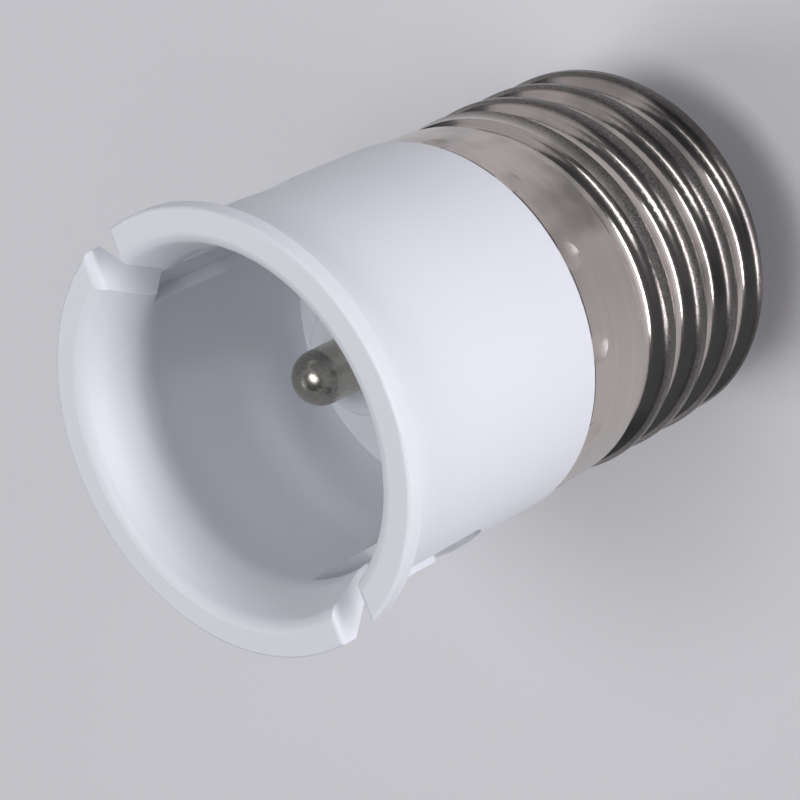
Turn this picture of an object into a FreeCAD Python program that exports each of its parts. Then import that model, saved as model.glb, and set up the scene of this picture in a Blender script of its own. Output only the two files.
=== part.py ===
"""Lamp socket adapter: a screw cap at the bottom, a bayonet socket at the top.

The adapter stands on its centre contact, its axis is Z and lengths are in mm.
"""
import math
import os

import FreeCAD
import Part
from FreeCAD import Vector

os.makedirs("parts", exist_ok=True)

# Heights of the main faces
shoulder_z = 27.0
body_length = 20.9

# Screw shell, rolled from sheet
crest_radius = 13.15
thread_pitch = 3.63
thread_arc = 1.025
sheet = 0.3
crest_to_flat = 657.5
first_crest_z = 18.03
thread_turns = 5
run_out_angle = 210.0
run_out_turns = 0.5
thread_foot_z = 7.9
neck_step = 0.1
neck_taper = 0.2
neck_length = 6.6
foot_step = 2.05
foot_z = 5.3
lip_turn = 0.8
lip_z = 4.6
shell_gap = 0.12
dimple_count = 13
dimple_first_angle = 108.7
dimple_radius = 2.2
dimple_depth = 0.3
dimple_drop = 0.5

# Moulded body
shoulder_step = 0.15
body_wall = 2.0
collar_flare = 1.68
collar_rim = 1.2
mouth_wall = 0.55
throat_depth = 3.7
floor_height = 1.2
floor_thickness = 2.2
edge_round = 0.3
rim_round = 0.2
mouth_round = 0.9
throat_round = 3.0

# Bayonet slots for a lamp's two pins
slot_width = 2.7
slot_height = 2.9
slot_depth = 12.9
slot_round_lead = 0.7
slot_round_tail = 0.3
entry_lead_angle = 1.3
lock_turn = 19.8
lock_rise = 1.0
relief_depth = 1.0
relief_lead_angle = 17.7
relief_margin = 1.0
relief_top_drop = 0.6
relief_past_lock = 3.0

# Sprung contact plungers
plunger_radius = 1.93
plunger_inset = 5.75
plunger_reach = 5.3
plunger_travel = 4.0
plunger_flange_radius = 2.45
plunger_flange = 0.8
plunger_stop_gap = 0.05
pilot_radius = 1.2
pilot_length = 1.2
boss_radius = 4.0
boss_height = 1.8
guide_length = 1.6
running_gap = 0.06
barrel_gap = 0.3
tube_wall = 1.15

# Springs
spring_wire = 0.4
spring_mean_radius = 1.9
spring_coils = 5.5
spring_seat_gap = 0.05
spring_spare = 0.15

# Spigot that holds the screw shell, and the plate in its end
spigot_gap = 0.2
spigot_collar = 1.4
spigot_lip = 0.2
spigot_wall = 1.4
plate_thickness = 1.8
plate_gap = 0.15
ledge = 0.6
strip_thickness = 0.4
strip_width = 3.0
strip_pad_margin = 0.15
strip_tail = 4.4
strip_slot_gap = 0.1
strip_room = 0.15

# Insulator and centre contact
insulator_gap = 0.15
insulator_flange = 1.4
insulator_foot_radius = 6.4
contact_radius = 5.0
contact_height = 1.6
contact_round = 0.8
stem_radius = 1.7
stem_top_z = 9.4
stem_gap = 0.1
cup_depth = 1.6
cup_radius = 0.75

# Connecting wires
wire_radius = 0.45
wire_gap = 0.05
wire_bend = 1.2
lead_start_drop = 0.5
lead_past_tail = 0.4
lead_lean = 2.2
lead_end = 3.0

# Derived radii
crest_flat = crest_radius / crest_to_flat
neck_mouth_radius = crest_radius - neck_step
neck_radius = neck_mouth_radius - neck_taper
foot_radius = crest_radius - foot_step
lip_radius = foot_radius - lip_turn
body_radius = neck_mouth_radius + shoulder_step
collar_radius = body_radius + collar_flare
mouth_radius = body_radius - mouth_wall
throat_radius = body_radius - body_wall
plunger_offset = throat_radius - plunger_inset
collar_middle = (throat_radius + collar_radius) / 2
entry_offset = collar_middle * math.sin(math.radians(lock_turn + entry_lead_angle))

# Derived levels
face_z = shoulder_z + body_length
floor_z = shoulder_z + floor_height
boss_z = floor_z + boss_height
throat_z = face_z - throat_depth
slot_z = face_z - slot_depth + slot_height / 2
guide_z = boss_z - guide_length
barrel_radius = plunger_flange_radius + barrel_gap
tube_radius = barrel_radius + tube_wall
plunger_angle = -lock_turn - 90.0
flange_top_z = guide_z - plunger_stop_gap
flange_bottom_z = flange_top_z - plunger_flange
spring_solid = (spring_coils + 1) * spring_wire
strip_top_z = flange_bottom_z - plunger_travel - spring_solid - spring_spare
tube_end_z = strip_top_z + strip_room
ledge_z = strip_top_z - strip_thickness
spigot_end_z = ledge_z - plate_thickness - spigot_lip
thread_centre = crest_radius - thread_arc
thread_depth = 2 * thread_arc - math.sqrt(4 * thread_arc ** 2 - (thread_pitch / 2) ** 2)
root_radius = crest_radius - thread_depth
shell_top_z = shoulder_z - shell_gap


def at_angle(radius, angle, z):
    a = math.radians(angle)
    return Vector(radius * math.cos(a), radius * math.sin(a), z)


def turned(shape, angle):
    copy = shape.copy()
    copy.rotate(Vector(0, 0, 0), Vector(0, 0, 1), angle)
    return copy


def revolved(points):
    """Solid of revolution about Z from a closed outline of (radius, z) points."""
    corners = [Vector(r, 0, z) for r, z in points]
    outline = Part.makePolygon(corners + [corners[0]])
    return Part.Face(outline).revolve(Vector(0, 0, 0), Vector(0, 0, 1), 360)


def ring_edges(shape, wanted):
    """Circular edges about the axis at the wanted (radius, z) places."""
    found = []
    for edge in shape.Edges:
        if not isinstance(edge.Curve, Part.Circle):
            continue
        centre = edge.Curve.Center
        if math.hypot(centre.x, centre.y) > 0.001:
            continue
        for radius, z in wanted:
            if abs(edge.Curve.Radius - radius) < 0.01 and abs(centre.z - z) < 0.01:
                found.append(edge)
    return found


def rounded(shape, size, wanted):
    return shape.makeFillet(size, ring_edges(shape, wanted))


def post(radius, x, y, z0, z1):
    return Part.makeCylinder(radius, z1 - z0, Vector(x, y, z0))


def make_slot():
    """Cutter for one slot: entry leg, cross leg and lock pocket.

    All the walls run along the line that the mould's core is pulled out on, the pocket's own.
    """
    low = entry_offset - slot_width / 2
    high = entry_offset + slot_width / 2
    half = slot_height / 2
    bottom = slot_z - half
    end_round = slot_width / 2
    top = face_z
    start = throat_radius / 2
    reach = collar_radius + 1.0
    lead = slot_round_lead
    tail = slot_round_tail
    k = 1 - math.sqrt(0.5)

    def at(across, z):
        return Vector(start, across, z)

    edges = [
        Part.LineSegment(at(low - tail, top + 1), at(low - tail, top)),
        Part.Arc(at(low - tail, top), at(low - tail * k, top - tail * k), at(low, top - tail)),
        Part.LineSegment(at(low, top - tail), at(low, bottom + end_round)),
        Part.Arc(at(low, bottom + end_round), at(entry_offset, bottom),
                 at(high, bottom + end_round)),
        Part.LineSegment(at(high, bottom + end_round), at(high, top - lead)),
        Part.Arc(at(high, top - lead), at(high + lead * k, top - lead * k), at(high + lead, top)),
        Part.LineSegment(at(high + lead, top), at(high + lead, top + 1)),
        Part.LineSegment(at(high + lead, top + 1), at(low - tail, top + 1)),
    ]
    outline = Part.Wire([e.toShape() for e in edges])
    entry = Part.Face(outline).extrude(Vector(reach - start, 0, 0))
    cross = Part.makeBox(reach - start, entry_offset, slot_height, at(0, bottom))
    pin = Part.makeCylinder(half, reach - start, at(0, slot_z), Vector(1, 0, 0))
    raised = pin.copy()
    raised.translate(Vector(0, 0, lock_rise))
    riser = Part.makeBox(reach - start, slot_height, lock_rise, at(-half, slot_z))
    return turned(entry.fuse([cross, pin, raised, riser]), -lock_turn)


def make_relief():
    """Thinner wall behind the flange, where the lamp's pins travel."""
    low = slot_z - slot_height / 2 - relief_margin
    high = throat_z - relief_top_drop
    outline = [Vector(throat_radius - 1, 0, low), Vector(throat_radius + relief_depth, 0, low),
               Vector(throat_radius + relief_depth, 0, high - relief_depth),
               Vector(throat_radius - 1, 0, high + 1)]
    face = Part.Face(Part.makePolygon(outline + [outline[0]]))
    tail_angle = lock_turn + math.degrees(slot_height / 2 / throat_radius) + relief_past_lock
    sector = face.revolve(Vector(0, 0, 0), Vector(0, 0, 1), relief_lead_angle + tail_angle)
    return turned(sector, -tail_angle)


def make_body():
    outer = revolved([
        (0, shoulder_z), (body_radius, shoulder_z),
        (body_radius, face_z - collar_rim - (collar_radius - body_radius)),
        (collar_radius, face_z - collar_rim), (collar_radius, face_z), (0, face_z)])
    outer = rounded(outer, edge_round, [(body_radius, shoulder_z)])
    outer = rounded(outer, rim_round, [(collar_radius, face_z)])
    inner = revolved([
        (0, floor_z), (throat_radius, floor_z), (throat_radius, throat_z),
        (mouth_radius, face_z), (mouth_radius, face_z + 1), (0, face_z + 1)])
    body = outer.cut(inner)
    body = rounded(body, throat_round, [(throat_radius, throat_z)])
    body = rounded(body, mouth_round, [(mouth_radius, face_z)])

    # Spigot below the shoulder, with the groove that the dimples are pressed into
    neck_inner = neck_mouth_radius - sheet
    collar_r = neck_inner - spigot_gap - 0.2
    groove_r = collar_r - dimple_depth
    low_r = root_radius - sheet - spigot_gap
    collar_low = first_crest_z + 1.5 * thread_pitch + spigot_gap
    groove_z = shoulder_z - spigot_collar
    underside = floor_z - floor_thickness
    bore_r = low_r - spigot_wall
    spigot = revolved([
        (0, floor_z - 0.5), (groove_r, floor_z - 0.5), (groove_r, groove_z),
        (collar_r, groove_z - 0.2), (collar_r, collar_low + 0.3), (low_r, collar_low),
        (low_r, spigot_end_z), (bore_r, spigot_end_z), (bore_r, ledge_z),
        (bore_r - ledge, ledge_z), (bore_r - ledge, underside), (0, underside)])
    body = body.fuse(spigot)

    for turn in (0, 180):
        centre = at_angle(plunger_offset, plunger_angle + turn, 0)
        boss = post(boss_radius, centre.x, centre.y, underside, boss_z)
        top = [e for e in boss.Edges if isinstance(e.Curve, Part.Circle)
               and abs(e.Curve.Center.z - boss_z) < 0.01]
        boss = boss.makeFillet(edge_round, top)
        tube = post(tube_radius, centre.x, centre.y, tube_end_z, underside + 0.5)
        body = body.fuse([boss, tube])
    for turn in (0, 180):
        centre = at_angle(plunger_offset, plunger_angle + turn, 0)
        guide = post(plunger_radius + running_gap, centre.x, centre.y, guide_z - 1, boss_z + 1)
        barrel = post(barrel_radius, centre.x, centre.y, tube_end_z - 1, guide_z)
        body = body.cut([guide, barrel])

    slot = make_slot()
    relief = make_relief()
    body = body.cut([slot, turned(slot, 180), relief, turned(relief, 180)])
    return body.removeSplitter()


def crest_land(offset):
    """Flat left on the crest of the blank, a little wider inside the sheet."""
    return crest_flat if offset == 0 else 2.5 * crest_flat


def groove_section(offset):
    """Section of the rolled groove in the XZ plane, its centre at z = 0.

    The flanks run on a little past the blank, so that the two surfaces cross.
    """
    root_arc = thread_arc + offset
    crest_arc = thread_arc - offset
    root_centre = root_radius + thread_arc
    dr = root_centre - thread_centre
    dz = thread_pitch / 2
    reach = math.hypot(dr, dz)
    join_r = thread_centre + crest_arc * dr / reach
    join_z = dz - crest_arc * dz / reach
    lift = crest_arc - crest_land(offset) / 5
    half_flat = math.sqrt(crest_arc ** 2 - lift ** 2)
    top_z = dz - half_flat
    lean = (math.atan2(dr, dz) + math.atan2(lift, half_flat)) / 2
    mid_r = thread_centre + crest_arc * math.sin(lean)
    mid_z = dz - crest_arc * math.cos(lean)
    edge_r = thread_centre + lift
    out_r = edge_r + 0.6
    bottom = Vector(root_centre - root_arc, 0, 0)

    def up(r, z):
        return Vector(r, 0, z)

    def down(r, z):
        return Vector(r, 0, -z)

    edges = [
        Part.LineSegment(down(out_r, top_z), down(edge_r, top_z)),
        Part.Arc(down(edge_r, top_z), down(mid_r, mid_z), down(join_r, join_z)),
        Part.Arc(down(join_r, join_z), bottom, up(join_r, join_z)),
        Part.Arc(up(join_r, join_z), up(mid_r, mid_z), up(edge_r, top_z)),
        Part.LineSegment(up(edge_r, top_z), up(out_r, top_z)),
        Part.LineSegment(up(out_r, top_z), down(out_r, top_z)),
    ]
    return Part.Wire([e.toShape() for e in edges])


def roll_thread(blank, offset):
    """Cut the helical groove turn by turn, then let it run out towards the neck."""
    section = groove_section(offset)
    start_z = first_crest_z + thread_pitch * (0.5 + run_out_angle / 360.0)
    round_turn = Part.makeHelix(thread_pitch, thread_pitch, crest_radius)
    groove = turned(Part.Wire(round_turn).makePipeShell([section], True, True), run_out_angle)
    for i in range(thread_turns):
        groove_turn = groove.copy()
        groove_turn.translate(Vector(0, 0, start_z - (i + 1) * thread_pitch))
        blank = blank.cut(groove_turn)
    rise = run_out_turns * thread_pitch
    lean = math.degrees(math.atan2(thread_depth + sheet, rise))
    rising = Part.makeHelix(thread_pitch, rise, crest_radius, lean)
    fade = turned(Part.Wire(rising).makePipeShell([section], True, True), run_out_angle)
    fade.translate(Vector(0, 0, start_z))
    return blank.cut(fade)


def shell_blank(offset):
    """Outline of the shell before the thread is rolled, at a depth in the sheet."""
    slope = math.atan2(neck_mouth_radius - neck_radius, neck_length)
    top = shell_top_z + (1.0 if offset else 0.0)
    crest = crest_radius - crest_land(offset) - offset
    neck_low_z = shell_top_z - neck_length
    k = math.sqrt(0.5) * offset
    blank = revolved([
        (0, lip_z - (1.0 if offset else 0.0)),
        (lip_radius, lip_z - (1.0 if offset else 0.0)),
        (lip_radius, lip_z + offset * 0.8),
        (foot_radius - k, foot_z + k),
        (crest, thread_foot_z + offset * 0.4),
        (crest, neck_low_z - 1.6),
        (neck_radius - offset, neck_low_z - 0.4),
        (neck_radius - offset, neck_low_z),
        (neck_mouth_radius - offset * math.cos(slope), shell_top_z),
        (neck_mouth_radius - offset * math.cos(slope), top),
        (0, top)])
    return turned(blank, 90)


def make_shell():
    outer = roll_thread(shell_blank(0), 0)
    inner = roll_thread(shell_blank(sheet), sheet)
    step = 360.0 / dimple_count
    dent_centre = neck_mouth_radius + dimple_radius - dimple_depth
    for i in range(dimple_count):
        place = at_angle(dent_centre, dimple_first_angle - i * step, shell_top_z - dimple_drop)
        outer = outer.cut(Part.makeSphere(dimple_radius, place))
        inner = inner.cut(Part.makeSphere(dimple_radius + sheet, place))
    return outer.cut(inner)


def make_plunger(turn):
    centre = at_angle(plunger_offset, plunger_angle + turn, 0)
    dome_z = boss_z + plunger_reach - plunger_radius
    shank = post(plunger_radius, centre.x, centre.y, flange_top_z - 0.1, dome_z)
    dome = Part.makeSphere(plunger_radius, Vector(centre.x, centre.y, dome_z))
    flange = post(plunger_flange_radius, centre.x, centre.y, flange_bottom_z, flange_top_z)
    pilot = post(pilot_radius, centre.x, centre.y, flange_bottom_z - pilot_length, flange_bottom_z)
    return shank.fuse([dome, flange, pilot]).removeSplitter()


def make_spring(turn):
    centre = at_angle(plunger_offset, plunger_angle + turn, 0)
    low = strip_top_z + spring_seat_gap + spring_wire / 2
    high = flange_bottom_z - spring_seat_gap - spring_wire / 2
    half_turns = round(2 * spring_coils)
    rise = (high - low) / half_turns
    path = []
    for i in range(half_turns):
        half_turn = turned(Part.makeHelix(2 * rise, rise, spring_mean_radius), 180 * i)
        half_turn.translate(Vector(0, 0, i * rise))
        path += half_turn.Edges
    ring = Part.makeCircle(spring_wire / 2, Vector(spring_mean_radius, 0, 0), Vector(0, 1, 0))
    coil = Part.Wire(path).makePipeShell([Part.Wire([ring])], True, True)
    coil.translate(Vector(centre.x, centre.y, low))
    return coil


def strip_at(inner, outer, tail_at, angle):
    """Contact strip on the plate: a pad under the spring and a tail through the plate."""
    pad_r = spring_mean_radius + spring_wire / 2 + strip_pad_margin
    pad = post(pad_r, plunger_offset, 0, ledge_z, strip_top_z)
    arm = Part.makeBox(outer - inner, strip_width, strip_thickness,
                       Vector(inner, -strip_width / 2, ledge_z))
    tail = Part.makeBox(strip_thickness, strip_width, strip_tail + strip_thickness,
                        Vector(tail_at, -strip_width / 2, ledge_z - strip_tail))
    return turned(pad.fuse([arm, tail]).removeSplitter(), angle)


def tail_slot(tail_at, angle):
    gap = strip_slot_gap
    slot = Part.makeBox(strip_thickness + 2 * gap, strip_width + 2 * gap, plate_thickness + 2,
                        Vector(tail_at - gap, -strip_width / 2 - gap, ledge_z - plate_thickness - 1))
    return turned(slot, angle)


def bent_wire(points, radius, bend):
    """Round wire along straight runs with an arc at each inner point."""
    edges = []
    start = points[0]
    for before, corner, after in zip(points, points[1:], points[2:]):
        u = (before - corner).normalize()
        v = (after - corner).normalize()
        half = u.getAngle(v) / 2
        back = bend / math.tan(half)
        a = corner + u * back
        b = corner + v * back
        centre_way = (u + v).normalize()
        middle = corner + centre_way * (bend / math.sin(half) - bend)
        edges.append(Part.makeLine(start, a))
        edges.append(Part.Arc(a, middle, b).toShape())
        start = b
    edges.append(Part.makeLine(start, points[-1]))
    way = points[1] - points[0]
    ring = Part.Wire([Part.makeCircle(radius, points[0], way)])
    return Part.Wire(edges).makePipeShell([ring], True, False)


inner_bore = root_radius - sheet - spigot_gap - spigot_wall
plate_radius = inner_bore - plate_gap
shell_tail_at = inner_bore - ledge - strip_thickness - 0.4
centre_tail_at = wire_radius + wire_gap

plate = post(plate_radius, 0, 0, ledge_z - plate_thickness, ledge_z)
plate = plate.cut([tail_slot(shell_tail_at, plunger_angle),
                   tail_slot(centre_tail_at, plunger_angle + 180)])
strip_shell = strip_at(plunger_offset, shell_tail_at + strip_thickness, shell_tail_at,
                       plunger_angle)
strip_centre = strip_at(centre_tail_at, plunger_offset, centre_tail_at, plunger_angle + 180)

# Insulator that closes the shell's foot, and the contact riveted through it
flange_radius = root_radius - sheet - insulator_gap - 0.3
throat_gap_radius = lip_radius - insulator_gap
insulator_top = foot_z + 1.5 + insulator_flange
insulator = revolved([
    (stem_radius + stem_gap, insulator_top), (flange_radius, insulator_top),
    (flange_radius, foot_z + 1.5), (throat_gap_radius, foot_z + 0.35),
    (throat_gap_radius, lip_z), (throat_gap_radius - 0.5, lip_z - 0.4),
    (insulator_foot_radius, contact_height), (stem_radius + stem_gap, contact_height)])

contact = post(contact_radius, 0, 0, 0, contact_height)
contact = rounded(contact, contact_round, [(contact_radius, 0)])
contact = contact.fuse(post(stem_radius, 0, 0, contact_height / 2, stem_top_z))
contact = contact.cut(post(cup_radius, 0, 0, stem_top_z - cup_depth, stem_top_z + 1))
contact = contact.removeSplitter()

lead_centre = post(wire_radius, 0, 0, stem_top_z - cup_depth + wire_gap,
                   ledge_z - plate_thickness - 0.3)
tail_face = shell_tail_at + strip_thickness + wire_radius + wire_gap
wall_face = root_radius - sheet - wire_radius - wire_gap
lead_top_z = ledge_z - plate_thickness - lead_start_drop
lead_bend_z = ledge_z - strip_tail - lead_past_tail
lead_wall_z = lead_bend_z - lead_lean
lead_shell = turned(bent_wire([
    Vector(tail_face, 0, lead_top_z), Vector(tail_face, 0, lead_bend_z),
    Vector(wall_face, 0, lead_wall_z), Vector(wall_face, 0, lead_wall_z - lead_end)],
    wire_radius, wire_bend), plunger_angle)

shapes = {
    "socket_body": make_body(),
    "screw_shell": make_shell(),
    "plunger_a": make_plunger(0),
    "plunger_b": make_plunger(180),
    "spring_a": make_spring(0),
    "spring_b": make_spring(180),
    "rear_plate": plate,
    "strip_shell": strip_shell,
    "strip_centre": strip_centre,
    "tip_insulator": insulator,
    "centre_contact": contact,
    "lead_centre": lead_centre,
    "lead_shell": lead_shell,
}

for name, shape in shapes.items():
    solid = shape.Solids[0] if len(shape.Solids) == 1 else shape
    box = solid.BoundBox
    print(name, "solids", len(shape.Solids), "valid", solid.isValid(),
          "volume %.1f" % solid.Volume, "z %.2f to %.2f" % (box.ZMin, box.ZMax))
    solid.exportStep("parts/%s.step" % name)
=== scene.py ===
"""Dresses the lamp socket adapter: white moulding, nickel-plated screw shell, sprung contacts.

Lengths are in metres and the adapter stands on its centre contact, its axis along Z.
"""
import math

import bpy
from mathutils import Euler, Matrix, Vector


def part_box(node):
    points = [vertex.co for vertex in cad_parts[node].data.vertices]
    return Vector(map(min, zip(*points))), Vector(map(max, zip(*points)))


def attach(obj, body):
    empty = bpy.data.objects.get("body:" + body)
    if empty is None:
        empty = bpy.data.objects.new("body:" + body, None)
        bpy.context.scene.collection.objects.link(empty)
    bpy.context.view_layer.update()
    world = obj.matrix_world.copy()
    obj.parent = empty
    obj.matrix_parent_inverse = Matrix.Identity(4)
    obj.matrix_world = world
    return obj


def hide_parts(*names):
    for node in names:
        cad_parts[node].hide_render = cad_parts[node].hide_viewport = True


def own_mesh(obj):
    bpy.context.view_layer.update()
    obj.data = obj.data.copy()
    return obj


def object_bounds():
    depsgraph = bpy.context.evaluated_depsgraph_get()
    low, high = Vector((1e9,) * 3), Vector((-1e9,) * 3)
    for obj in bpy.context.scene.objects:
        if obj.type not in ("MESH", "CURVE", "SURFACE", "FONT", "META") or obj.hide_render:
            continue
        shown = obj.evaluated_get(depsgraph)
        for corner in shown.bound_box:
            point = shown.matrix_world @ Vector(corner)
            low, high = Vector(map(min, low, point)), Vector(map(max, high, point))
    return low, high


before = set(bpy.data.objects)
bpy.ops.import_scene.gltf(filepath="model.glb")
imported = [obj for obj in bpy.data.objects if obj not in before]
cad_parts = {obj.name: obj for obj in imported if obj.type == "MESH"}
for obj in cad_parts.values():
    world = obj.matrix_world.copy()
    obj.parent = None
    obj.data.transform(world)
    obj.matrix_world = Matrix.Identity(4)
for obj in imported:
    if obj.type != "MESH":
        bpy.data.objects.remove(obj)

bl_info = {
    "name": "Lamp socket adapter",
    "version": (1, 0, 0),
    "blender": (4, 5, 0),
    "location": "View3D > Sidebar > Adapter",
    "description": "Finishes and lights an adapter from a screw socket to a bayonet lamp",
    "category": "Object",
}

CAD_LOW, CAD_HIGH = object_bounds()
MM = 0.001

# Soft boxes: name, azimuth and elevation in degrees, width and height in metres, tint
LAMP_DISTANCE = 0.7
LAMPS = (
    ("key", 55, 10, 0.80, 0.12, (1.0, 0.975, 1.05)),
    ("fill", 250, 50, 0.40, 0.30, (1.0, 1.0, 1.04)),
    ("top", 101, 70, 0.34, 0.20, (1.0, 1.0, 1.04)),
    ("side", 165, 27, 0.64, 0.60, (1.0, 0.975, 1.04)),
)

# Colours of the pieces inside
PLATE_WHITE = (0.72, 0.72, 0.7)
SPRING_STEEL = (0.5, 0.5, 0.5)
BRASS = (0.72, 0.55, 0.28)
COPPER = (0.68, 0.36, 0.2)

# Segments round a spring's wire and along each half turn
WIRE_SIDES = 16
HALF_TURN_STEPS = 24


class AdapterFinish(bpy.types.PropertyGroup):
    """Colours and surface sizes of the adapter's materials."""

    moulding_colour: bpy.props.FloatVectorProperty(
        name="Moulding colour", description="Cool white of the moulded socket body",
        subtype="COLOR", size=3, min=0.0, max=1.0, default=(0.80, 0.815, 0.85))
    moulding_roughness: bpy.props.FloatProperty(
        name="Moulding roughness", description="Roughness of the smooth moulded surface",
        subtype="FACTOR", min=0.0, max=1.0, default=0.46)
    moulding_ripple: bpy.props.FloatProperty(
        name="Moulding ripple", description="Width of the soft ripple left by the mould",
        unit="LENGTH", min=0.0001, default=1.6 * MM)
    nickel_colour: bpy.props.FloatVectorProperty(
        name="Nickel colour", description="Warm grey of the nickel plate",
        subtype="COLOR", size=3, min=0.0, max=1.0, default=(0.65, 0.585, 0.54))
    # The dark grey below colours the hairline streaks, and also the painted dark reflection on the
    # thread's crests and in the smudges.
    dark_streak_and_reflection_colour: bpy.props.FloatVectorProperty(
        name="Crest colour", description="Darker grey of the plate where the crests were stretched",
        subtype="COLOR", size=3, min=0.0, max=1.0, default=(0.075, 0.07, 0.066))
    plunger_colour: bpy.props.FloatVectorProperty(
        name="Plunger colour", description="Olive grey of the turned and plated plungers",
        subtype="COLOR", size=3, min=0.0, max=1.0, default=(0.42, 0.40, 0.345))
    nickel_roughness: bpy.props.FloatProperty(
        name="Nickel roughness", description="Roughness of the nickel plate between its streaks",
        subtype="FACTOR", min=0.0, max=1.0, default=0.17)
    # Flank radius, crest radius, thread top and thread fade place the painted dark reflection on
    # the thread's crests.
    flank_radius: bpy.props.FloatProperty(
        name="Flank radius", description="Distance from the axis where the thread starts to darken",
        unit="LENGTH", min=0.001, default=12.75 * MM)
    crest_radius: bpy.props.FloatProperty(
        name="Crest radius", description="Distance from the axis where the thread is darkest",
        unit="LENGTH", min=0.001, default=13.08 * MM)
    thread_top: bpy.props.FloatProperty(
        name="Thread top", description="Height where the thread ends and the smooth neck starts",
        unit="LENGTH", min=0.001, default=20.2 * MM)
    thread_fade: bpy.props.FloatProperty(
        name="Thread fade", description="Height over which the dark crests fade into the neck",
        unit="LENGTH", min=0.00001, default=0.6 * MM)
    nickel_grain: bpy.props.FloatProperty(
        name="Nickel grain", description="Size of the fine sparkle in the plate",
        unit="LENGTH", min=0.00001, default=0.09 * MM)
    streak_height: bpy.props.FloatProperty(
        name="Streak height", description="Height of the streaks left round the shell by the rolls",
        unit="LENGTH", min=0.00001, default=0.1 * MM)
    spring_wire: bpy.props.FloatProperty(
        name="Spring wire", description="Thickness of the wire that the springs are coiled from",
        unit="LENGTH", min=0.0001, default=0.4 * MM)
    spring_half_turns: bpy.props.IntProperty(
        name="Spring half turns", description="Half turns in each spring", min=2, default=11)
    spring_keep: bpy.props.FloatProperty(
        name="Pressed spring", description="Share of its length that a fully pressed spring keeps",
        subtype="FACTOR", min=0.05, max=1.0, default=0.398)
    insulator_colour: bpy.props.FloatVectorProperty(
        name="Insulator colour", description="Black of the insulator in the shell's foot",
        subtype="COLOR", size=3, min=0.0, max=1.0, default=(0.018, 0.018, 0.02))


class AdapterStage(bpy.types.PropertyGroup):
    """Camera, floor and lamps."""

    camera_place: bpy.props.FloatVectorProperty(
        name="Camera place", description="Where the camera stands",
        subtype="TRANSLATION", unit="LENGTH", size=3, default=(0.030712, 0.145782, 0.177550))
    camera_turn: bpy.props.FloatVectorProperty(
        name="Camera turn", description="Rotation of the camera about X, Y and Z",
        subtype="EULER", unit="ROTATION", size=3,
        default=(math.radians(-25.072), math.radians(39.743), math.radians(43.027)))
    camera_lens: bpy.props.FloatProperty(
        name="Focal length", description="Focal length for a sensor 36 mm wide, in millimetres",
        min=10.0, default=142.9)
    floor_colour: bpy.props.FloatVectorProperty(
        name="Floor colour", description="Pale colour of the floor",
        subtype="COLOR", size=3, min=0.0, max=1.0, default=(0.80, 0.80, 0.81))
    floor_radius: bpy.props.FloatProperty(
        name="Floor radius", description="Radius of the floor disc",
        unit="LENGTH", min=0.1, default=3.0)
    world_colour: bpy.props.FloatVectorProperty(
        name="World colour", description="Cool tint of the even light from all sides",
        subtype="COLOR", size=3, min=0.0, max=1.0, default=(0.86, 0.92, 1.0))
    world_strength: bpy.props.FloatProperty(
        name="World strength", description="Strength of the even light from all sides",
        min=0.0, default=0.08)
    key_power: bpy.props.FloatProperty(
        name="Key power", description="Power of the low soft box that lights the moulding's side",
        unit="POWER", min=0.0, default=3.55)
    fill_power: bpy.props.FloatProperty(
        name="Fill power", description="Power of the soft box opposite, which lights the floor",
        unit="POWER", min=0.0, default=1.4)
    top_power: bpy.props.FloatProperty(
        name="Top power", description="Power of the small soft box that looks into the mouth",
        unit="POWER", min=0.0, default=1.6)
    side_power: bpy.props.FloatProperty(
        name="Side power", description="Power of the large dim soft box that the thread mirrors",
        unit="POWER", min=0.0, default=0.48)


def material(name):
    """A new node material with its shader and the place on the piece that its patterns read."""
    made = bpy.data.materials.new(name)
    made.use_nodes = True
    tree = made.node_tree
    shader = tree.nodes["Principled BSDF"]
    place = tree.nodes.new("ShaderNodeTexCoord")
    place.location = (-1200, 0)
    return made, tree, shader, place.outputs["Object"]


def node(tree, kind, inputs=None, **settings):
    """A node of a kind, with its settings and its unlinked inputs."""
    made = tree.nodes.new(kind)
    for key, value in settings.items():
        setattr(made, key, value)
    for key, value in (inputs or {}).items():
        made.inputs[key].default_value = value
    return made


def join(tree, *pairs):
    """Links each pair's output to its input."""
    for source, target in pairs:
        tree.links.new(source, target)


def spread(tree, source, low, high):
    """Maps a 0 to 1 value onto low to high."""
    made = node(tree, "ShaderNodeMapRange", {"To Min": low, "To Max": high})
    tree.links.new(source, made.inputs["Value"])
    return made.outputs["Result"]


def tint(tree, source, first, second):
    """Runs from one colour, or another node's colour, to a second with a 0 to 1 value."""
    made = node(tree, "ShaderNodeMix", data_type="RGBA")
    if isinstance(first, bpy.types.NodeSocket):
        tree.links.new(first, made.inputs["A"])
    else:
        made.inputs["A"].default_value = (*first, 1.0)
    made.inputs["B"].default_value = (*second, 1.0)
    tree.links.new(source, made.inputs["Factor"])
    return made.outputs["Result"]


def shade(colour, factor):
    """A colour made darker or lighter."""
    return tuple(channel * factor for channel in colour)


def times(tree, first, second):
    """The product of two values, kept from 0 to 1."""
    made = node(tree, "ShaderNodeMath", operation="MULTIPLY", use_clamp=True)
    join(tree, (first, made.inputs[0]), (second, made.inputs[1]))
    return made.outputs["Value"]


def sharpen(tree, source, low, high, to_low=0.0, to_high=1.0):
    """Maps the middle of a noise, from low to high, onto a wider range."""
    made = node(tree, "ShaderNodeMapRange", {"From Min": low, "From Max": high,
                                             "To Min": to_low, "To Max": to_high})
    tree.links.new(source, made.inputs["Value"])
    return made.outputs["Result"]


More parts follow.
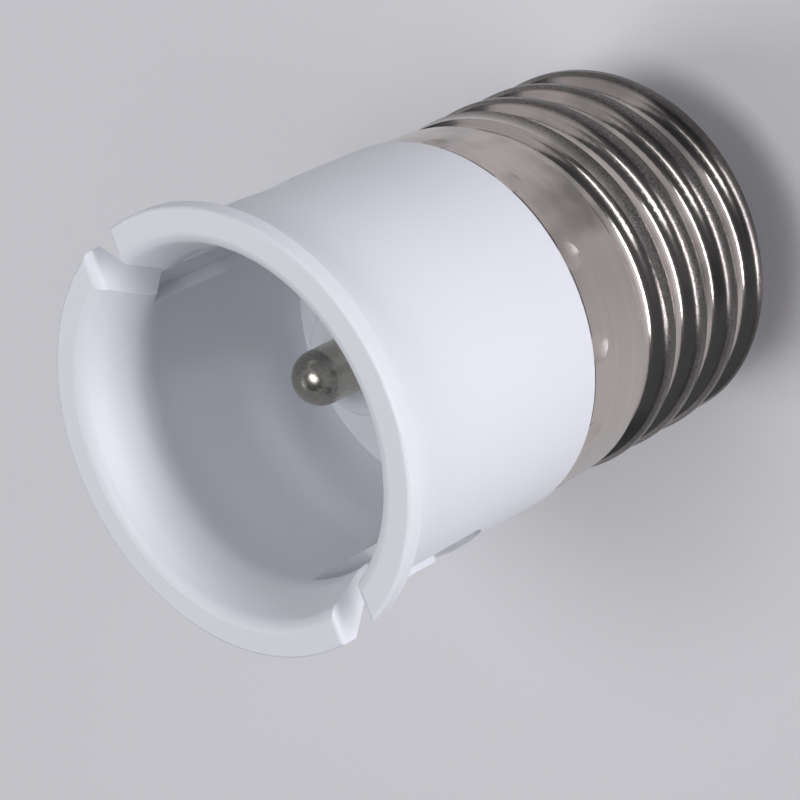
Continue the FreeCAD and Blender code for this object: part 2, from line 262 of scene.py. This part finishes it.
def white_moulding(finish):
    """Glossy cool white plastic with a soft mould ripple and the faintest clouding."""
    made, tree, shader, place = material("white_moulding")
    cloud = node(tree, "ShaderNodeTexNoise", {"Scale": 90.0, "Detail": 3.0, "Roughness": 0.55})
    ripple = node(tree, "ShaderNodeTexNoise",
                  {"Scale": 1.0 / finish.moulding_ripple, "Detail": 2.0, "Roughness": 0.4})
    skin = node(tree, "ShaderNodeTexNoise", {"Scale": 5200.0, "Detail": 2.0, "Roughness": 0.6})
    soft = node(tree, "ShaderNodeBump", {"Strength": 0.10, "Distance": 0.05 * MM})
    fine = node(tree, "ShaderNodeBump", {"Strength": 0.06, "Distance": 0.01 * MM})
    join(tree,
         (place, cloud.inputs["Vector"]), (place, ripple.inputs["Vector"]),
         (place, skin.inputs["Vector"]),
         (ripple.outputs["Fac"], soft.inputs["Height"]),
         (skin.outputs["Fac"], fine.inputs["Height"]),
         (soft.outputs["Normal"], fine.inputs["Normal"]),
         (fine.outputs["Normal"], shader.inputs["Normal"]),
         (tint(tree, cloud.outputs["Fac"], shade(finish.moulding_colour, 0.965),
               finish.moulding_colour), shader.inputs["Base Color"]),
         (spread(tree, cloud.outputs["Fac"], finish.moulding_roughness - 0.05,
                 finish.moulding_roughness + 0.05), shader.inputs["Roughness"]))
    shader.inputs["IOR"].default_value = 1.49
    shader.inputs["Subsurface Weight"].default_value = 0.08
    shader.inputs["Subsurface Radius"].default_value = (1.0, 1.0, 1.0)
    shader.inputs["Subsurface Scale"].default_value = 0.6 * MM
    return made


def painted_reflection_crest_mask(tree, place, finish):
    """1 on the thread's crests and 0 in its grooves and on the neck, by radius and height; it
    places the painted dark reflection.
    """
    level = node(tree, "ShaderNodeVectorMath", operation="MULTIPLY")
    level.inputs[1].default_value = (1.0, 1.0, 0.0)
    radius = node(tree, "ShaderNodeVectorMath", operation="LENGTH")
    crest_reflection_part = node(tree, "ShaderNodeMapRange",
                 {"From Min": finish.flank_radius, "From Max": finish.crest_radius},
                 interpolation_type="SMOOTHSTEP")
    split = node(tree, "ShaderNodeSeparateXYZ")
    below = node(tree, "ShaderNodeMapRange",
                 {"From Min": finish.thread_top - finish.thread_fade, "From Max": finish.thread_top,
                  "To Min": 1.0, "To Max": 0.0}, interpolation_type="SMOOTHSTEP")
    join(tree, (place, level.inputs[0]), (level.outputs["Vector"], radius.inputs[0]),
         (radius.outputs["Value"], crest_reflection_part.inputs["Value"]),
         (place, split.inputs["Vector"]), (split.outputs["Z"], below.inputs["Value"]))
    return times(tree, crest_reflection_part.outputs["Result"], below.outputs["Result"])


def nickel_plate(name, finish, streaks, rolled_thread=False):
    """Warm grey nickel with streaks and smudges of painted dark reflection; the rolled thread also
    has a painted dark reflection on its crests.
    """
    made, tree, shader, place = material(name)
    grain = node(tree, "ShaderNodeTexNoise",
                 {"Scale": 1.0 / finish.nickel_grain, "Detail": 3.0, "Roughness": 0.65})
    cloud = node(tree, "ShaderNodeTexNoise", {"Scale": 130.0, "Detail": 3.0, "Roughness": 0.5})
    stretch = node(tree, "ShaderNodeMapping")
    stretch.inputs["Scale"].default_value = (60.0, 60.0, 1.0 / finish.streak_height)
    lines = node(tree, "ShaderNodeTexNoise", {"Scale": 1.0, "Detail": 4.0, "Roughness": 0.6})
    rolled = node(tree, "ShaderNodeBump", {"Strength": 0.08 * streaks, "Distance": 0.02 * MM})
    sparkle = node(tree, "ShaderNodeBump", {"Strength": 0.22, "Distance": 0.01 * MM})
    # Painted dark reflection: random smudges tinted towards the dark colour.
    painted_reflection_smudge = sharpen(tree, cloud.outputs["Fac"], 0.48, 0.68, 0.0, 0.62)
    streak = sharpen(tree, lines.outputs["Fac"], 0.35, 0.70, 0.0, 0.14)
    plate = tint(tree, streak, finish.nickel_colour, finish.dark_streak_and_reflection_colour)
    plate = tint(tree, painted_reflection_smudge, plate, finish.dark_streak_and_reflection_colour)
    # Painted dark reflection on the crests, broken up by the grain.
    if rolled_thread:
        crest_reflection_part = painted_reflection_crest_mask(tree, place, finish)
        speckle = sharpen(tree, grain.outputs["Fac"], 0.38, 0.64, 1.1, 0.6)
        painted_reflection_share = times(tree, crest_reflection_part, speckle)
        plate = tint(tree, painted_reflection_share, plate, finish.dark_streak_and_reflection_colour)
        join(tree, (spread(tree, painted_reflection_share, 0.15, 0.9), sparkle.inputs["Strength"]))
    else:
        painted_reflection_share = painted_reflection_smudge
    join(tree,
         (place, grain.inputs["Vector"]), (place, cloud.inputs["Vector"]),
         (place, stretch.inputs["Vector"]), (stretch.outputs["Vector"], lines.inputs["Vector"]),
         (lines.outputs["Fac"], rolled.inputs["Height"]),
         (grain.outputs["Fac"], sparkle.inputs["Height"]),
         (rolled.outputs["Normal"], sparkle.inputs["Normal"]),
         (sparkle.outputs["Normal"], shader.inputs["Normal"]),
         (plate, shader.inputs["Base Color"]),
         (spread(tree, painted_reflection_share, finish.nickel_roughness, finish.nickel_roughness + 0.1),
          shader.inputs["Roughness"]))
    shader.inputs["Metallic"].default_value = 1.0
    return made


def plain_finish(name, colour, roughness, metallic, grain_size, depth):
    """Finish of the small inner pieces: a colour with a fine grain."""
    made, tree, shader, place = material(name)
    grain = node(tree, "ShaderNodeTexNoise",
                 {"Scale": 1.0 / grain_size, "Detail": 3.0, "Roughness": 0.6})
    bump = node(tree, "ShaderNodeBump", {"Strength": 0.2, "Distance": depth})
    join(tree,
         (place, grain.inputs["Vector"]), (grain.outputs["Fac"], bump.inputs["Height"]),
         (bump.outputs["Normal"], shader.inputs["Normal"]),
         (tint(tree, grain.outputs["Fac"], shade(colour, 0.85), shade(colour, 1.1)),
          shader.inputs["Base Color"]),
         (spread(tree, grain.outputs["Fac"], roughness - 0.06, roughness + 0.06),
          shader.inputs["Roughness"]))
    shader.inputs["Metallic"].default_value = metallic
    return made


def dress(made, *names):
    """Gives CAD nodes a material."""
    for name in names:
        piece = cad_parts[name]
        piece.data.materials.clear()
        piece.data.materials.append(made)


class ADAPTER_OT_moulding(bpy.types.Operator):
    """Finish the moulded socket body and its backing plate"""

    bl_idname = "adapter.moulding"
    bl_label = "Moulding"

    def execute(self, context):
        finish = context.scene.adapter_finish
        dress(white_moulding(finish), "socket_body")
        dress(plain_finish("backing_plate", PLATE_WHITE, 0.5, 0.0, 0.3 * MM, 0.01 * MM),
              "rear_plate")
        return {"FINISHED"}


class ADAPTER_OT_shell(bpy.types.Operator):
    """Finish the rolled screw shell"""

    bl_idname = "adapter.shell"
    bl_label = "Screw shell"

    def execute(self, context):
        finish = context.scene.adapter_finish
        dress(nickel_plate("rolled_nickel", finish, 1.0, rolled_thread=True), "screw_shell")
        return {"FINISHED"}


def coil(name, centre, mean_radius, low, high, wire, half_turns):
    """A compression spring of round wire, coiled up from low to high round an upright axis."""
    bpy.ops.object.select_all(action="DESELECT")
    bpy.ops.mesh.primitive_circle_add(vertices=WIRE_SIDES, radius=wire / 2, fill_type="NOTHING",
                                      location=(mean_radius, 0, low + wire / 2),
                                      rotation=(math.radians(90), 0, 0))
    spring = bpy.context.object
    spring.name = name
    bpy.ops.object.transform_apply(location=True, rotation=True, scale=True)
    screw = spring.modifiers.new("coils", "SCREW")
    screw.angle = math.pi
    screw.iterations = half_turns
    screw.screw_offset = (high - low - wire) / half_turns
    screw.steps = HALF_TURN_STEPS
    screw.render_steps = HALF_TURN_STEPS
    bpy.ops.object.modifier_apply(modifier=screw.name)
    bpy.ops.object.mode_set(mode="EDIT")
    bpy.ops.mesh.select_all(action="SELECT")
    bpy.ops.mesh.remove_doubles(threshold=0.001 * MM)
    bpy.ops.mesh.fill_holes(sides=0)
    bpy.ops.mesh.select_all(action="SELECT")
    bpy.ops.mesh.normals_make_consistent(inside=False)
    bpy.ops.object.mode_set(mode="OBJECT")
    spring.location = (centre.x, centre.y, 0)
    bpy.ops.object.transform_apply(location=True, rotation=True, scale=True)
    bpy.ops.object.shade_smooth_by_angle(angle=math.radians(40))
    return spring


class ADAPTER_OT_springs(bpy.types.Operator):
    """Coil the two springs that press the plungers"""

    bl_idname = "adapter.springs"
    bl_label = "Springs"

    def execute(self, context):
        finish = context.scene.adapter_finish
        made = plain_finish("spring_wire", SPRING_STEEL, 0.3, 1.0, 0.1 * MM, 0.004 * MM)
        for side in ("a", "b"):
            low, high = (Vector(corner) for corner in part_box("spring_" + side))
            centre = (low + high) / 2
            mean_radius = (high.y - low.y - finish.spring_wire) / 2
            spring = coil("coiled_spring_" + side, centre, mean_radius, low.z, high.z,
                          finish.spring_wire, finish.spring_half_turns)
            spring.data.materials.append(made)
            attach(spring, "socket")
            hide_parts("spring_" + side)
            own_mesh(spring)
        return {"FINISHED"}


class ADAPTER_OT_contacts(bpy.types.Operator):
    """Finish the plungers, strips, wires, insulator and centre contact"""

    bl_idname = "adapter.contacts"
    bl_label = "Contacts"

    def execute(self, context):
        finish = context.scene.adapter_finish
        dress(plain_finish("turned_nickel", tuple(finish.plunger_colour), 0.27, 1.0,
                           finish.nickel_grain, 0.012 * MM), "plunger_a", "plunger_b")
        dress(nickel_plate("contact_plate", finish, 0.3), "centre_contact")
        dress(plain_finish("strip_brass", BRASS, 0.32, 1.0, 0.2 * MM, 0.005 * MM),
              "strip_shell", "strip_centre")
        dress(plain_finish("bare_copper", COPPER, 0.35, 1.0, 0.2 * MM, 0.005 * MM),
              "lead_centre", "lead_shell")
        dress(plain_finish("black_insulator", tuple(finish.insulator_colour), 0.28, 0.0,
                           0.25 * MM, 0.006 * MM), "tip_insulator")
        return {"FINISHED"}


def soft_box(name, azimuth, elevation, width, height, power, colour):
    """A rectangular soft lamp round the adapter's middle, facing it."""
    middle = (Vector(CAD_LOW) + Vector(CAD_HIGH)) / 2
    level = LAMP_DISTANCE * math.cos(elevation)
    place = middle + Vector((level * math.cos(azimuth), level * math.sin(azimuth),
                             LAMP_DISTANCE * math.sin(elevation)))
    data = bpy.data.lights.new(name, "AREA")
    data.shape = "RECTANGLE"
    data.size = width
    data.size_y = height
    data.energy = power
    data.color = colour
    lamp = bpy.data.objects.new(name, data)
    bpy.context.scene.collection.objects.link(lamp)
    lamp.location = place
    lamp.rotation_euler = (middle - place).to_track_quat("-Z", "Y").to_euler()


class ADAPTER_OT_stage(bpy.types.Operator):
    """Set the floor, the soft lamps and the camera"""

    bl_idname = "adapter.stage"
    bl_label = "Stage"

    def execute(self, context):
        scene = context.scene
        stage = scene.adapter_stage
        bpy.ops.object.select_all(action="DESELECT")
        bpy.ops.mesh.primitive_circle_add(vertices=96, radius=stage.floor_radius,
                                          fill_type="NGON", location=(0, 0, 0))
        floor = context.object
        floor.name = "floor"
        made, tree, shader, place = material("pale_floor")
        cloud = node(tree, "ShaderNodeTexNoise", {"Scale": 6.0, "Detail": 2.0})
        join(tree, (place, cloud.inputs["Vector"]),
             (tint(tree, cloud.outputs["Fac"], shade(stage.floor_colour, 0.985),
                   stage.floor_colour), shader.inputs["Base Color"]))
        shader.inputs["Roughness"].default_value = 0.6
        floor.data.materials.append(made)

        world = bpy.data.worlds.new("studio")
        world.use_nodes = True
        light = world.node_tree.nodes["Background"]
        light.inputs["Color"].default_value = (*stage.world_colour, 1.0)
        light.inputs["Strength"].default_value = stage.world_strength
        scene.world = world

        for name, azimuth, elevation, width, height, colour in LAMPS:
            soft_box(name, math.radians(azimuth), math.radians(elevation), width, height,
                     getattr(stage, name + "_power"), colour)

        camera = bpy.data.objects.new("camera", bpy.data.cameras.new("camera"))
        scene.collection.objects.link(camera)
        camera.location = stage.camera_place
        camera.rotation_euler = Euler(stage.camera_turn)
        camera.data.sensor_width = 36.0
        camera.data.lens = stage.camera_lens
        camera.data.clip_start = 0.01
        camera.data.clip_end = 20.0
        scene.camera = camera
        scene.view_settings.view_transform = "Standard"
        return {"FINISHED"}


class ADAPTER_PT_panel(bpy.types.Panel):
    """Sizes, colours and steps of the adapter"""

    bl_idname = "ADAPTER_PT_panel"
    bl_label = "Lamp socket adapter"
    bl_space_type = "VIEW_3D"
    bl_region_type = "UI"
    bl_category = "Adapter"

    def draw(self, context):
        layout = self.layout
        for group in (context.scene.adapter_finish, context.scene.adapter_stage):
            box = layout.box()
            for name in group.__annotations__:
                box.prop(group, name)
        for step in STEPS:
            layout.operator(step.bl_idname)


STEPS = (ADAPTER_OT_moulding, ADAPTER_OT_shell, ADAPTER_OT_springs, ADAPTER_OT_contacts,
         ADAPTER_OT_stage)
CLASSES = (AdapterFinish, AdapterStage, *STEPS, ADAPTER_PT_panel)


def register():
    """Registers the classes and puts both groups on the scene."""
    for cls in CLASSES:
        bpy.utils.register_class(cls)
    bpy.types.Scene.adapter_finish = bpy.props.PointerProperty(type=AdapterFinish)
    bpy.types.Scene.adapter_stage = bpy.props.PointerProperty(type=AdapterStage)


def unregister():
    """Takes the groups and the classes away again."""
    del bpy.types.Scene.adapter_stage
    del bpy.types.Scene.adapter_finish
    for cls in reversed(CLASSES):
        bpy.utils.unregister_class(cls)


def main():
    """Runs every step in order."""
    register()
    bpy.ops.adapter.moulding()
    bpy.ops.adapter.shell()
    bpy.ops.adapter.springs()
    bpy.ops.adapter.contacts()
    bpy.ops.adapter.stage()


if __name__ == "__main__":
    main()
